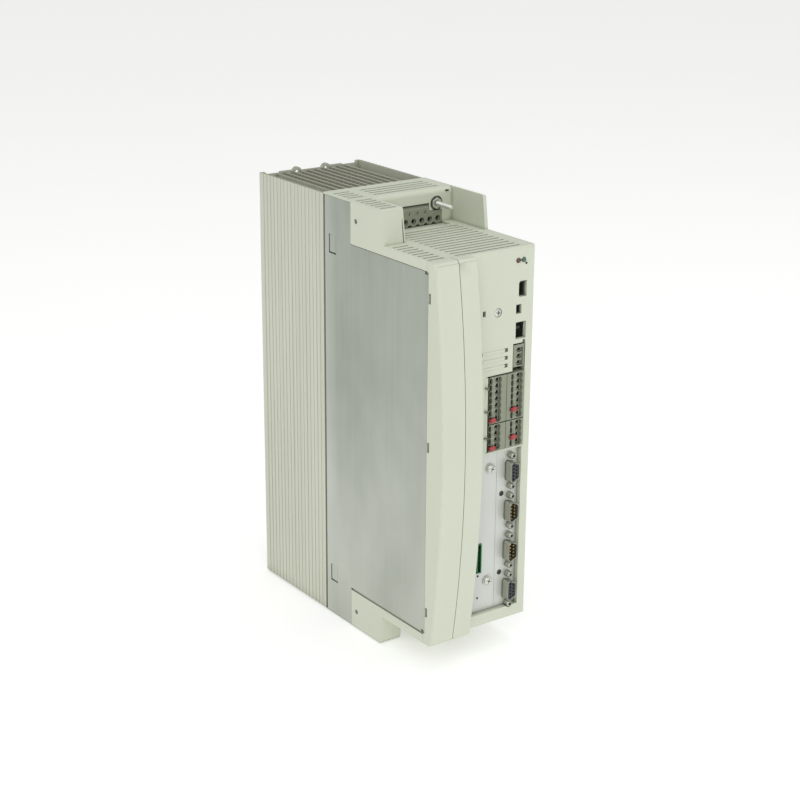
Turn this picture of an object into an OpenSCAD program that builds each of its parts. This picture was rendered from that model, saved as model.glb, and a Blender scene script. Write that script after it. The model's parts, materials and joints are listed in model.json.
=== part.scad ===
// Book-format servo drive, upright, as it hangs on a wall panel.
// The front faces -Y. The origin is at the centre of the footprint, on the bottom face.

/* [Body] */
// Overall width
body_w = 97; // [96:0.5:99]
// Overall height
body_h = 350; // [349:0.5:352]
// Overall depth, from the curved front to the rear plate
body_d = 250; // [249:0.5:252]
// Depth of the heatsink with its rear plate
sink_d = 93.7; // [93.4:0.1:94.6]
// How far the curved front stands out from the flat panel
bulge_d = 19; // [18:0.5:20]
// How much less the curved front stands out at its two ends
bulge_sag = 12; // [11:0.5:13]
// Height of the tower above the vented deck
tower_h = 26; // [25.5:0.1:27]
// Height of the foot below the front panel
foot_h = 24.4; // [24:0.1:25]
// Thickness of the plastic walls
wall = 2.5; // [2.3:0.1:2.6]
// Thickness of the side sheets
sheet_t = 1; // [0.9:0.1:1.1]

/* [Heatsink] */
// Thickness of the heatsink's base
base_t = 10; // [9:0.5:10]
// Number of fins
fin_count = 10; // [8:1:10]
// Distance from fin to fin
fin_pitch = 7.25; // [6.8:0.05:7.3]
// How far the fins end below the outer walls
fin_recess = 2.2; // [1.5:0.1:3]
// Distance between the ridges on a fin
ridge_pitch = 5.6; // [5:0.1:7]
// Number of ribs on each outer wall
rib_count = 17; // [14:1:17]
// Distance from rib to rib
rib_pitch = 5.12; // [4.9:0.01:5.15]

/* [Vents] */
// Distance from slot to slot
slot_pitch = 6.2; // [6:0.1:6.4]
// Width of a slot
slot_w = 2.2; // [1.6:0.1:2.4]

/* [Terminals] */
// Distance between the poles of the control terminals
pole = 5.08; // [5:0.01:5.1]
// Distance between the poles of the power terminals
power_pole = 7.62; // [7.5:0.01:7.62]
// Number of poles of a power terminal
power_poles = 8; // [6:1:8]
// Radius of the earth stud
stud_r = 2; // [1.9:0.05:2.2]

/* [Ports] */
// Distance from port to port
port_pitch = 33; // [32.5:0.1:33]
// Height of the lowest port
port_z = 49; // [48.5:0.1:49.5]
// Distance between a port's two jackscrews
jack_pitch = 24.99; // [24.9:0.01:25]
// Radius of the tapped hole in a jackscrew
jack_hole_r = 1.2; // [1:0.05:1.3]

/* [Fan] */
// Side of the square fan frame
fan_w = 80; // [78:1:80]
// Radius over the fan's blades
fan_r = 36.5; // [34:0.5:36.5]
// Number of fan blades
blade_count = 7; // [5:1:9]

/* [Hidden] */
$fn = 48;
e = 0.01;            // a cut goes this much past the face it cuts
gap = 0.2;           // shop clearance between fixed pieces
hw = body_w / 2;

// Depth, front to rear
y_peak = -body_d / 2;
y_panel = y_peak + bulge_d;
y_rear = body_d / 2;
y_sink = y_rear - sink_d;
panel_t = 2.8;
y_behind = y_panel + panel_t;
y_plate = y_panel + 4;
plate_t = 1.2;
y_board = y_panel + 14;
board_t = 1.6;
y_sheet_front = y_panel + 1.4;
y_sheet_rear = y_sink - 0.6;
y_notch = -5.9;
y_face = -7.5;       // front face of the cross bar
y_tower = -49.5;     // front of the tower at the deck
tower_lean = 3.5;    // how far the tower's front leans back
y_pit = -19;         // front edge of the pit before the power terminal

// Height
z_chin = foot_h;
z_deck = body_h - tower_h;
z_mid = (z_chin + z_deck) / 2;
z_sink0 = 1;
z_sink1 = body_h - 1;
z_cheek_low = 33.5;
z_cheek_high = z_deck - 7.6;
half_h = (z_deck - z_chin) / 2;

// Curved front: one arc seen from the side
arc_r = (half_h * half_h + bulge_sag * bulge_sag) / (2 * bulge_sag);
arc_half = asin(half_h / arc_r) + 0.5;

// Across the width
x_block = -29;       // right face of the tower's left block
x_seam = -28;        // joint between left cover and front panel
x_flank = -12;       // right flank of the curved front
x_wall = hw - 3;     // inner face of the tower's right wall

// Earth stud, power terminal
stud_x = 30.5;
stud_drop = 11.4;    // stud axis below the end face
power_x1 = 35.4;
power_top = 15.2;
pit_d = 1.7;         // depth of the pit
stud_hole_r = 5.8;

// Top of the power terminal under the earth stud, at an end of height h
function low_top(h) = h - stud_drop - 5.5;

power_low_x = 23.6;

// Window for the interface plates
win_x0 = x_flank;
win_x1 = 40.8;
win_z0 = 35;
win_z1 = 166.8;
plate_seam = 20.4;

// Ports
port_x = 33;
port_front = y_panel - 3.3;
female_ports = [0, 3];
male_ports = [1, 2];
plate_screw_at = [[14.2, 153.1], [13.5, 60.2]];
plate_hole_at = [[25.6, 129.9], [25.4, 64]];

// Control terminals: x, z, poles and how far the openings sit to the right
plug_w = 16.8;
plug_x = [7, 24.2];
plug_shift = [0, 3.1];
plug_z = [168.7, 191];
plug_rim = 0.6;      // plug beyond its outermost poles
plug_poles = [4, 7];
plug_hole = [5.8, 12.1];    // wire openings, from the plug's left face
plug_screw = [0.9, 3.1];    // openings over the screws
plug_band = 1;              // depth of the scalloped recess around the openings
plug_front = y_panel - 1;
plug_rear = y_board - 3.2;

// Fan
fan_y = y_sink + base_t + 0.35 + fan_w / 2;
fan_z = 8;
fan_h = 25.4;
pocket_h = 38;
seam = 0.25;         // half the width of the joint in the curved front

plastic = [0.82, 0.84, 0.77];
grey = [0.62, 0.64, 0.58];
steel = [0.72, 0.73, 0.72];
zinc = [0.78, 0.79, 0.77];
alu = [0.80, 0.80, 0.76];
black = [0.10, 0.10, 0.10];
board_green = [0.10, 0.32, 0.18];

module box(a, b) {
    translate(a) cube([b[0] - a[0], b[1] - a[1], b[2] - a[2]]);
}

// A cylinder along +Y that starts at the point p
module rod_y(p, r, len) {
    translate(p) rotate([-90, 0, 0]) cylinder(r = r, h = len);
}

module rod_x(p, r, len) {
    translate(p) rotate([0, 90, 0]) cylinder(r = r, h = len);
}

// A polygon drawn in Y and Z, from x0 to x1
module side_profile(x0, x1, points) {
    translate([x0, 0, 0]) rotate([90, 0, 90]) linear_extrude(x1 - x0) polygon(points);
}

// A polygon drawn in X and Z, from y0 to y1
module front_profile(y0, y1, points) {
    translate([0, y1, 0]) rotate([90, 0, 0]) linear_extrude(y1 - y0) polygon(points);
}

// Cuts round an edge along X at (y, z), where the material is on the sy and sz sides
module round_x(x0, x1, y, z, sy, sz, r) {
    difference() {
        box([x0, min(y - sy, y + sy * r), min(z - sz, z + sz * r)],
            [x1, max(y - sy, y + sy * r), max(z - sz, z + sz * r)]);
        rod_x([x0 - 1, y + sy * r, z + sz * r], r, x1 - x0 + 2);
    }
}

// The same for an edge along Y at (x, z)
module round_y(y0, y1, x, z, sx, sz, r) {
    difference() {
        box([min(x - sx, x + sx * r), y0, min(z - sz, z + sz * r)],
            [max(x - sx, x + sx * r), y1, max(z - sz, z + sz * r)]);
        rod_y([x + sx * r, y0 - 1, z + sz * r], r, y1 - y0 + 2);
    }
}

// The same for an upright edge at (x, y)
module round_z(z0, z1, x, y, sx, sy, r) {
    difference() {
        box([min(x - sx, x + sx * r), min(y - sy, y + sy * r), z0],
            [max(x - sx, x + sx * r), max(y - sy, y + sy * r), z1]);
        translate([x + sx * r, y + sy * r, z0 - 1]) cylinder(r = r, h = z1 - z0 + 2);
    }
}

// Outline with its corners rounded: one arc of radius r at each corner point
function corner_arc(p, a0, a1, r, n = 5) =
    [for (i = [0:n]) let (a = a0 + (a1 - a0) * i / n) p + r * [cos(a), sin(a)]];

// ---------------------------------------------------------------- heatsink

// One fin, seen from above: its two faces are a row of small ridges
module fin(x, y0, y1) {
    n = floor((y1 - y0) / ridge_pitch);
    low = 0.75;
    high = 1.45;
    right = [for (i = [0:n - 1], k = [0, 1])
        [x + (k == 0 ? low : high), y0 + (i + 0.1 + 0.5 * k) * ridge_pitch]];
    left = [for (i = [n - 1:-1:0], k = [1, 0])
        [x - (k == 0 ? low : high), y0 + (i + 0.1 + 0.5 * k) * ridge_pitch]];
    polygon(concat([[x + low, y0 - 1]], right, [[x + low, y1], [x - low, y1]], left,
        [[x - low, y0 - 1]]));
}

sink_shell = 2.6;    // outer walls of the heatsink, with their ribs
rib_h = 0.3;
rib_w = 1.7;
screw_boss_w = 6;

// Outer walls and base, seen from above
module sink_walls() {
    for (s = [-1, 1]) {
        translate([s > 0 ? hw - sink_shell : -hw + rib_h, y_sink])
            square([sink_shell - rib_h, y_rear - 3 - y_sink]);
        translate([s > 0 ? hw - rib_h - e : -hw, y_sink]) square([rib_h + e, 1.6]);
        for (i = [0:rib_count - 1])
            translate([s > 0 ? hw - rib_h - e : -hw, y_sink + 5.5 + i * rib_pitch])
                square([rib_h + e, rib_w]);
    }
}

module heatsink() {
    y_open = y_rear - 3;
    color(alu) difference() {
        union() {
            translate([0, 0, z_sink0]) linear_extrude(z_sink1 - z_sink0) sink_walls();
            translate([0, 0, z_sink0 + fin_recess])
                linear_extrude(z_sink1 - z_sink0 - 2 * fin_recess) {
                    translate([-hw + 1, y_sink]) square([body_w - 2, base_t]);
                    for (i = [0:fin_count - 1])
                        fin((i - (fin_count - 1) / 2) * fin_pitch, y_sink + base_t, y_open - 1.5);
                }
            for (s = [-1, 1], z = plate_screw_z)
                box([s > 0 ? hw - screw_boss_w : -hw + 1, y_open - 7, z - 5],
                    [s > 0 ? hw - 1 : -hw + screw_boss_w, y_open, z + 5]);
        }
        box([-hw + 3.6, y_sink + base_t, -e], [hw - 3.6, y_rear, pocket_h]);
        for (x = [-hw + 3.4, hw - 3.4], z = plate_screw_z) rod_y([x, y_open - 5, z], 1.6, 6);
    }
}

lug_x = 14;
lug_r = 4.5;
lug_hole_r = 2.1;
plate_screw_x = 34;
plate_screw_z = [60, 175, 290];

module rear_plate() {
    color(alu) difference() {
        union() {
            box([-hw + 0.3, y_rear - 3 + 0.05, z_sink0 + fin_recess],
                [hw - 0.3, y_rear, z_sink1 - fin_recess]);
            for (s = [-1, 1]) box([s > 0 ? 18 : -30, y_rear - 3 + 0.05, z_sink0 + fin_recess - 1],
                [s > 0 ? 30 : -18, y_rear, z_sink1 - fin_recess + 1]);
            for (s = [-1, 1]) box([s > 0 ? hw - 4.5 : -hw + 0.3, y_rear - 3 + 0.05, z_sink0],
                [s > 0 ? hw - 0.3 : -hw + 4.5, y_rear, z_sink1 - 0.2]);
            for (x = [-lug_x, lug_x], z = [lug_r, body_h - lug_r])
                rod_y([x, y_rear - 3 + 0.05, z], lug_r, 2.95);
        }
        for (x = [-lug_x, lug_x], z = [lug_r, body_h - lug_r])
            rod_y([x, y_rear - 4, z], lug_hole_r, 5);
        for (x = [-hw + 3.4, hw - 3.4], z = plate_screw_z) {
            rod_y([x, y_rear - 4, z], 1.6, 5);
            translate([x, y_rear + e, z]) rotate([90, 0, 0]) cylinder(r1 = 3, r2 = 1.6, h = 1.5);
        }
    }
}

module rear_plate_screws() {
    color(zinc) for (x = [-hw + 3.4, hw - 3.4], z = plate_screw_z) difference() {
        union() {
            translate([x, y_rear, z]) rotate([90, 0, 0]) cylinder(r1 = 2.85, r2 = 1.45, h = 1.4);
            rod_y([x, y_rear - 7.6, z], 1.45, 6.7);
        }
        for (a = [0, 90])
            translate([x, y_rear, z]) rotate([0, a, 0]) cube([2.8, 1.4, 0.6], center = true);
    }
}

// ------------------------------------------------------------- side sheets

bend = 2.6;          // outer radius of the side sheets' rear bend

module side_sheet(s) {
    window_y = [13.8, 23.5];
    window_z = [[29.5, 43.8], [304.2, 319.2]];
    difference() {
        translate([0, 0, 1.5]) linear_extrude(body_h - 3) scale([s, 1]) {
            translate([hw - sheet_t, y_sheet_front])
                square([sheet_t, y_sheet_rear - bend - y_sheet_front]);
            translate([hw - bend - 3.5, y_sheet_rear - sheet_t]) square([3.5, sheet_t]);
            intersection() {
                translate([hw - bend, y_sheet_rear - bend]) difference() {
                    circle(bend);
                    circle(bend - sheet_t);
                }
                translate([hw - bend, y_sheet_rear - bend]) square(bend);
            }
        }
        for (z = [[-e, z_cheek_low], [z_cheek_high, body_h + e]])
            box([s * hw - 10, y_sheet_front - 1, z[0]], [s * hw + 10, y_notch, z[1]]);
        for (z = window_z) {
            box([s * hw - 2, window_y[0], z[0]], [s * hw + 2, window_y[0] + 0.9, z[1]]);
            box([s * hw - 2, window_y[0], z[0]], [s * hw + 2, window_y[1], z[0] + 0.9]);
            box([s * hw - 2, window_y[1] - 0.6, z[0]], [s * hw + 2, window_y[1], z[1]]);
            box([s * (hw - 0.5) - (s > 0 ? 0 : 3), window_y[0], z[0]],
                [s * (hw - 0.5) + (s > 0 ? 3 : 0), window_y[1], z[1]]);
        }
        for (z = [z_cheek_low, z_cheek_high])
            box([s * hw - 2, y_sheet_front - 1, z - (z > z_mid ? 2 : -e)],
                [s * hw + 2, y_sheet_front + 4, z + (z > z_mid ? e : 2)]);
    }
}

module left_side_sheet() {
    color(steel) side_sheet(-1);
}

module right_side_sheet() {
    color(steel) side_sheet(1);
}

// ----------------------------------------------------------- end housings

deck_slots = [-46, -32];
main_slots = [-22, 37.5];

// Side outline of the tower: its front leans back towards the end face
function lean(h, inset) = [
    [y_tower + inset, -e], [y_face + 2, -e], [y_face + 2, h - inset],
    [y_tower + tower_lean + inset, h - inset]
];

// Drawn with the deck's outer face at z = 0 and the end face at z = h
module end_housing(h) {
    y0 = y_behind + gap;
    y_end = y_sink - 0.1;
    top_in = h - wall;
    lip_z = power_top + 0.3;
    fillet = 4;
    difference() {
        union() {
            box([-hw, y0, -wall], [hw, y_face + wall, 0]);
            for (x = [-hw, hw - 2]) box([x, y0, -7.2], [x + 2, y_notch - 0.1, 0]);
            for (x = [-hw + 1.3, hw - 3.6]) {
                box([x, y0, -14], [x + 2.3, y_notch, -wall + e]);
                box([x, y_notch - e, -14], [x + 2.3, y_end - 10, top_in + e]);
            }
            box([x_block - wall, y_pit - 2, -4], [power_x1 + 2.4, y_face + wall, 0]);
            difference() {
                side_profile(-hw, x_block, lean(h, 0));
                side_profile(-hw + 2, x_block - wall, lean(top_in, 0) + [for (i = [0:3])
                    [i == 0 || i == 3 ? wall : 10, i < 2 ? -5 : 0]]);
            }
            side_profile(x_wall, hw, lean(h, 0));
            difference() {
                box([x_block - wall, y_face, lip_z], [hw, y_end, h]);
                box([-hw + 4, y_face + wall, -20], [hw - 4, y_end + 1, top_in]);
                difference() {
                    box([-hw - 1, y_face - e, h - fillet], [x_wall, y_face + fillet, h + e]);
                    rod_x([-hw - 2, y_face + fillet, h - fillet], fillet, body_w + 4);
                }
            }
            box([-hw, y_notch, top_in], [x_block, y_end, h]);
            box([power_low_x, y_face, low_top(h) + 0.3], [x_wall + e, y_face + wall, lip_z + e]);
            box([power_x1 + 0.4, y_face, -e], [x_wall + e, y_face + wall, lip_z + e]);
        }
        box([x_block, y_pit, -pit_d], [power_low_x, y_face + wall + 1, lip_z]);
        box([power_low_x - e, y_pit, -pit_d], [power_x1 + 0.4, y_face + wall + 1,
            low_top(h) + 0.3 - e]);
        box([x_block, y_face + 1, -20], [power_x1 + 0.4, y_face + wall + 1, 0]);
        rod_y([stud_x, y_face - 1, h - stud_drop], stud_hole_r, 6);
        box([-hw + 3.8, y_tower + 4.5, -wall - 1], [x_block - wall - 0.4, y_face - 2, e]);
        for (i = [0:12]) slot_row_deck(main_slots, y_panel + 5.5 + i * slot_pitch);
        for (i = [0:7]) slot_row_deck(deck_slots, y_panel + 5.3 + i * slot_pitch);
        for (i = [0:5]) slot_row_top(deck_slots, y_tower + 8.6 + i * slot_pitch, h);
        for (i = [0:3]) for (x = [deck_slots, main_slots]) slot_row_top(x, 1.6 + i * slot_pitch, h);
        for (s = [-1, 1]) {
            box([s * hw - (s > 0 ? 1.2 : 1), y_notch - 0.1, -20],
                [s * hw + (s > 0 ? 1 : 1.2), y_end + 1, h - 1.3]);
            rod_x([s > 0 ? hw - 2.2 : -hw - 5, -13, h - 14.6], 1.9, 7.2);
            box([s * hw - (s > 0 ? 10 : 1), y_sheet_rear - bend - 0.4, -20],
                [s * hw + (s > 0 ? 1 : 10), y_end + 1, h - 1.3]);
        }
        for (s = [-1, 1]) round_y(y_tower - 1, y_end + 1, s * hw, h, -s, -1, 1.3);
        round_x(-hw - 1, x_block + 1, y_tower + tower_lean, h, 1, -1, 1.4);
        round_x(x_wall - 1, hw + 1, y_tower + tower_lean, h, 1, -1, 1.4);
        box([x_block - 1.9, y_tower - 1, -e], [x_block - 1.1, y_tower + 1.2, h + 1]);
        box([x_block - 1.9, y_tower + 1, 0.2], [x_block - 1.1, y_tower + 2.6, h + 1]);
        box([39, y_face - 1, h - 3.6], [42.6, y_face + wall + 1, h - 2]);
    }
}

module slot_row_deck(x, y) {
    box([x[0], y - slot_w / 2, -wall - 1], [x[1], y + slot_w / 2, 1]);
}

module slot_row_top(x, y, h) {
    box([x[0], y - slot_w / 2, h - wall - 1], [x[1], y + slot_w / 2, h + 1]);
}

// Places a child drawn over the deck at the upper or the lower end
module at_upper_end() {
    translate([0, 0, z_deck]) children();
}

module at_lower_end() {
    translate([0, 0, z_chin]) mirror([0, 0, 1]) children();
}

module upper_housing() {
    color(plastic) at_upper_end() end_housing(tower_h);
}

module lower_housing() {
    color(plastic) at_lower_end() end_housing(foot_h);
}

module side_screw(s, h) {
    difference() {
        rod_x([s > 0 ? hw - 2.1 : -hw + 1, -13, h - 14.6], 1.7, 1.1);
        translate([s > 0 ? hw - 1 : -hw + 1, -13, h - 14.6]) cube([1.2, 0.5, 2.4], center = true);
    }
}

module housing_screws() {
    color(zinc) for (s = [-1, 1]) {
        at_upper_end() side_screw(s, tower_h);
        at_lower_end() side_screw(s, foot_h);
    }
}

// ---------------------------------------------------------------- front

// A slice of the curved front, from x0 to x1, its face r_in inside the true one
module arc_body(x0, x1, inset, corner) {
    r = arc_r - inset;
    translate([0, y_peak + arc_r, z_mid]) rotate([0, 90, 0])
        rotate([0, 0, -90 - arc_half]) rotate_extrude(angle = 2 * arc_half, $fn = 360)
            difference() {
                translate([r - 24 + inset, x0]) square([24 - inset, x1 - x0]);
                if (corner > 0) difference() {
                    translate([r - corner, x0 - e]) square([corner + e, corner + e]);
                    translate([r - corner, x0 + corner]) circle(corner);
                }
            }
}

// The shell of the curved front between x0 and x1. Side walls are 0 where it is open.
module arc_shell(x0, x1, left_wall, right_wall, corner) {
    difference() {
        intersection() {
            arc_body(x0, x1, 0, corner);
            box([x0 - 1, y_peak - 1, z_chin], [x1 + 1, y_behind, z_deck]);
        }
        intersection() {
            arc_body(x0 + left_wall - (left_wall > 0 ? 0 : 1), x1 - right_wall
                + (right_wall > 0 ? 0 : 1), wall, max(corner - wall, 0));
            box([x0 - 1, y_peak, z_chin + wall], [x1 + 1, y_behind + 1, z_deck - wall]);
        }
    }
}

clip_z = [51.2, 184.4, 297.3];
front_r = 2.4;       // rounding of the front's upper and lower edge

module front_edges(x0, x1, y) {
    round_x(x0, x1, y, z_deck, 1, -1, front_r);
    round_x(x0, x1, y, z_chin, 1, 1, front_r);
}

module left_cover() {
    color(plastic) difference() {
        arc_shell(-hw, x_seam - seam, wall, 0, 3);
        front_edges(-hw - 1, x_seam, y_peak + bulge_sag);
        for (z = clip_z) box([-hw - 1, y_panel - 1.2, z - 3.4], [-hw + wall + 1, y_panel + 0.4, z + 3.4]);
        box([-hw - 1, y_sheet_front - gap, z_cheek_low - 0.3],
            [-hw + 1.3, y_behind + 1, z_cheek_high + 0.3]);
        for (z = clip_z) box([-hw - 1, y_panel - 1.9, z - 3.9], [-hw + 1, y_panel + 0.7, z + 3.9]);
    }
}

// Outline of a window with two cut corners on its left
function port_window(x0, x1, z0, z1, c) =
    [[x0, z0 + c], [x0, z1 - c], [x0 + c, z1], [x1, z1], [x1, z0], [x0 + c, z0]];

keypad_win = [33.8, 41.2, 285.6, 297.7];
service_win = [31.7, 36.8, 272.9, 280];
jumper_win = [31.8, 41.6, 253.3, 266.4];
bus_win = [29.8, 41.6, 228.5, 250];
term_win = [6, 41.3, 168.1, 228.6];
light_z = 313.7;
light_x = [32.5, 37.8];
light_r = 1.9;
rail_z = [246.5, 240.5, 234.4];   // three small rails, each ending at a square recess
panel_screw_at = [14.7, 276.7];
ring_x = 5.3;
ring_z = [180.5, 201.5, 220];
lip_h = 1.1;         // height of the sloping lip beside the control terminals

// A cut through the panel: the window is x0, x1, z0, z1
module panel_cut(w, deep = 30) {
    box([w[0], y_panel - 1, w[2]], [w[1], y_panel + deep, w[3]]);
}

// A rim behind the panel around a window
module panel_rim(w, depth, t = 1.2) {
    box([w[0] - t, y_behind - e, w[2] - t], [w[1] + t, y_panel + depth, w[3] + t]);
}

module front_panel() {
    color(plastic) difference() {
        union() {
            arc_shell(x_seam + seam, x_flank, 0, wall, 0);
            box([x_flank - e, y_panel, z_chin], [hw, y_behind, z_deck]);
            panel_rim([win_x0 + 10, win_x1, win_z0, win_z1], 3.9);
            panel_rim([keypad_win[0], keypad_win[1], keypad_win[2], keypad_win[3]], 7);
            panel_rim(jumper_win, 3.4);
            panel_rim([bus_win[0], bus_win[1], bus_win[2] + 1, bus_win[3]], 6);
            panel_rim(term_win, 3.6, 0.9);
            rod_y([panel_screw_at[0], y_behind - e, panel_screw_at[1]], 5, 4);
            for (z = rail_z) rod_x([0.5, y_panel + 0.55, z], 1.4, 21.3);
            translate([0, 0, term_win[2] + 1]) linear_extrude(term_win[3] - term_win[2] - 1.5)
                polygon([[3.9, y_panel + e], [5.6, y_panel - lip_h], [6, y_panel - lip_h],
                    [6, y_panel + 1], [3.9, y_panel + 1]]);
            for (z = ring_z) rod_y([ring_x, y_panel - lip_h - 0.5, z], 1.35, 3.5);
        }
        front_edges(x_seam, x_flank + e, y_peak + bulge_sag);
        front_edges(x_flank + 0.8, hw + 1, y_panel);
        round_z(z_chin - 1, z_deck + 1, hw, y_panel, -1, 1, 1.4);
        panel_cut([win_x0, win_x1, win_z0, win_z1]);
        front_profile(y_panel - 1, y_panel + 30,
            port_window(keypad_win[0], keypad_win[1], keypad_win[2], keypad_win[3], 1.2));
        panel_cut(service_win);
        panel_cut([0.4, 3.1, 275.4, 279.7]);
        panel_cut(jumper_win);
        panel_cut(bus_win);
        panel_cut([38.8, 41.2, 249, 252.2]);
        panel_cut(term_win);
        rod_y([port_x, y_panel - 1, port_z - jack_pitch / 2], 3.1, 8);
        for (x = light_x) rod_y([x, y_panel - 1, light_z], light_r + 0.1, 10);
        rod_y([40.4, y_panel - 1, 310.7], 0.85, 10);
        for (z = rail_z) {
            box([21.6, y_panel - 1, z - 1.5], [25, y_panel + 2, z + 1.5]);
        }
        rod_y([panel_screw_at[0], y_panel - 1, panel_screw_at[1]], 3.5, 2.4);
        rod_y([panel_screw_at[0], y_panel - 1, panel_screw_at[1]], 1.7, 20);
        for (z = ring_z) rod_y([ring_x, y_panel - lip_h - 1, z], 0.75, 1.6);
        box([hw - 1.3, y_sheet_front - gap, z_cheek_low - 0.3],
            [hw + 1, y_behind + 1, z_cheek_high + 0.3]);
    }
}

module panel_screw() {
    p = panel_screw_at;
    color(zinc) difference() {
        union() {
            rod_y([p[0], y_panel + 0.3, p[1]], 3.2, 1.1);
            translate([p[0], y_panel + 0.31, p[1]]) rotate([90, 0, 0])
                cylinder(r1 = 3.2, r2 = 2.2, h = 0.7);
            rod_y([p[0], y_panel + 1.3, p[1]], 1.6, 9);
        }
        for (a = [0, 90]) translate([p[0], y_panel - 0.3, p[1]]) rotate([0, a + 12, 0])
            cube([3.8, 2.6, 0.9], center = true);
    }
}

module light(i, tint) {
    color(tint) {
        rod_y([light_x[i], y_panel + 0.3, light_z], light_r, y_board - y_panel - 3.4);
        translate([light_x[i], y_panel + 0.3, light_z]) intersection() {
            sphere(light_r);
            rotate([90, 0, 0]) cylinder(r = light_r + 1, h = 0.9);
        }
    }
}

module red_light() {
    light(0, [0.55, 0.10, 0.08]);
}

module green_light() {
    light(1, [0.12, 0.35, 0.22]);
}

// ---------------------------------------------------- interface plates

// D-shaped outline in X and Z: long row on the left, short row on the right
function d_outline(grow) = let (r = 2.4, a = 4.15 + grow - r, w = 8.2 + grow - r,
    n = 6.8 + grow - r) concat(
        corner_arc([-a, -w], 260, 180, r), corner_arc([-a, w], 180, 100, r),
        corner_arc([a, n], 100, 0, r), corner_arc([a, -n], 0, -100, r));

module d_solid(z, y0, y1, grow) {
    translate([port_x, 0, z]) front_profile(y0, y1, d_outline(grow));
}

module interface_plate(x0, x1) {
    difference() {
        box([x0, y_plate, win_z0 - 1], [x1, y_plate + plate_t, win_z1 + 1]);
        for (i = [0:3]) {
            d_solid(port_z + i * port_pitch, y_plate - 1, y_plate + 3, 0.25);
            for (s = [-1, 1]) rod_y([port_x, y_plate - 1, port_z + i * port_pitch
                + s * jack_pitch / 2], 1.75, 5);
        }
        for (p = plate_hole_at) rod_y([p[0], y_plate - 1, p[1]], 2.2, 5);
        for (p = plate_screw_at) rod_y([p[0], y_plate - 1, p[1]], 1.9, 5);
        box([signal_x[0] - 0.2, y_plate - 1, signal_z[0] - 0.2],
            [signal_x[1] + 0.2, y_plate + 3, signal_z[1] + 0.2]);
        for (z = [47.2, 65.8]) rod_y([4.3, y_plate - 1, z], 1, 5);
    }
}

signal_x = [2.8, 7.2];
signal_z = [68.3, 92.7];

module left_interface_plate() {
    color(zinc) interface_plate(-24, plate_seam - 0.1);
}

module right_interface_plate() {
    color(zinc) interface_plate(plate_seam + 0.1, 42);
}

// Pan-head screw with a washer, its head towards -Y
module pan_screw(p, y) {
    difference() {
        union() {
            rod_y([p[0], y - 0.6, p[1]], 4.3, 0.6);
            rod_y([p[0], y - 1.6, p[1]], 3.5, 1.1);
            translate([p[0], y - 1.6, p[1]]) rotate([90, 0, 0]) cylinder(r1 = 3.5, r2 = 2.4, h = 1);
            rod_y([p[0], y - e, p[1]], 1.8, 8);
        }
        for (a = [0, 90]) translate([p[0], y - 2.6, p[1]]) rotate([0, a + 25, 0])
            cube([3.8, 2.4, 0.8], center = true);
    }
}

module plate_screws() {
    color(zinc) for (p = plate_screw_at) pan_screw(p, y_plate);
}

module port_shell(z) {
    y_flange = y_plate + plate_t;
    difference() {
        union() {
            d_solid(z, port_front, y_flange + 1, 0);
            box([port_x - 6.2, y_flange, z - 15.4], [port_x + 6.2, y_flange + 0.8, z + 15.4]);
        }
        d_solid(z, port_front - 1, y_flange + 2, -0.45);
        for (s = [-1, 1]) rod_y([port_x, y_flange - 1, z + s * jack_pitch / 2], 1.75, 4);
    }
}

module female_port_shells() {
    color(zinc) for (i = female_ports) port_shell(port_z + i * port_pitch);
}

module male_port_shells() {
    color(zinc) for (i = male_ports) port_shell(port_z + i * port_pitch);
}

// Contact places of a 9-way port: five on the left, four on the right
function contacts() = concat([for (i = [-2:2]) [-1.42, i * 2.77]],
    [for (i = [-1.5:1:1.5]) [1.42, i * 2.77]]);

module female_port_inserts() {
    color([0.18, 0.20, 0.27]) for (i = female_ports) {
        z = port_z + i * port_pitch;
        difference() {
            d_solid(z, port_front + 0.3, y_board - 0.05, -0.55);
            for (c = contacts()) rod_y([port_x + c[0], port_front - 1, z + c[1]], 0.78, 6);
        }
    }
}

male_floor = y_plate + 0.5;

module male_port_inserts() {
    color([0.20, 0.15, 0.10]) for (i = male_ports) {
        z = port_z + i * port_pitch;
        difference() {
            d_solid(z, male_floor, y_board - 0.05, -0.55);
            for (c = contacts()) rod_y([port_x + c[0], male_floor - 1, z + c[1]], 0.55, 5);
        }
    }
}

module male_port_contacts() {
    color([0.80, 0.62, 0.25]) for (i = male_ports, c = contacts()) {
        rod_y([port_x + c[0], port_front + 1.6, port_z + i * port_pitch + c[1]], 0.5, 7);
    }
}

jack_l = 5.2;        // length of a jackscrew's hexagon

module port_jackscrews() {
    color(zinc) for (i = [0:3], s = [-1, 1]) {
        z = port_z + i * port_pitch + s * jack_pitch / 2;
        difference() {
            union() {
                intersection() {
                    translate([port_x, y_plate, z]) rotate([90, 0, 0])
                        cylinder(r = 2.7, h = jack_l, $fn = 6);
                    translate([port_x, y_plate + 1, z]) rotate([90, 0, 0])
                        cylinder(r1 = 1.6 + jack_l + 1, r2 = 1.6, h = jack_l + 1);
                }
                rod_y([port_x, y_plate - e, z], 1.5, 6);
            }
            rod_y([port_x, y_plate - jack_l - 1, z], jack_hole_r, 5.5);
        }
    }
}

// A board header in an open box, its pins along +Y
module open_header(x, z, y0, y1, n, t = 0.8) {
    difference() {
        box([x[0], y0, z[0]], [x[1], y1, z[1]]);
        box([x[0] + t, y0 - 1, z[0] + t], [x[1] - t, y1 - 3, z[1] - t]);
    }
    step = (z[1] - z[0]) / n;
    for (i = [0:n - 1]) translate([(x[0] + x[1]) / 2, 0, z[0] + (i + 0.5) * step])
        box([-0.5, y0 + 1.5, -0.5], [0.5, y1 - 3 + e, 0.5]);
}

module signal_header() {
    color([0.16, 0.50, 0.25]) open_header(signal_x, signal_z, y_plate - 0.8, y_board - 0.05, 6);
}

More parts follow.
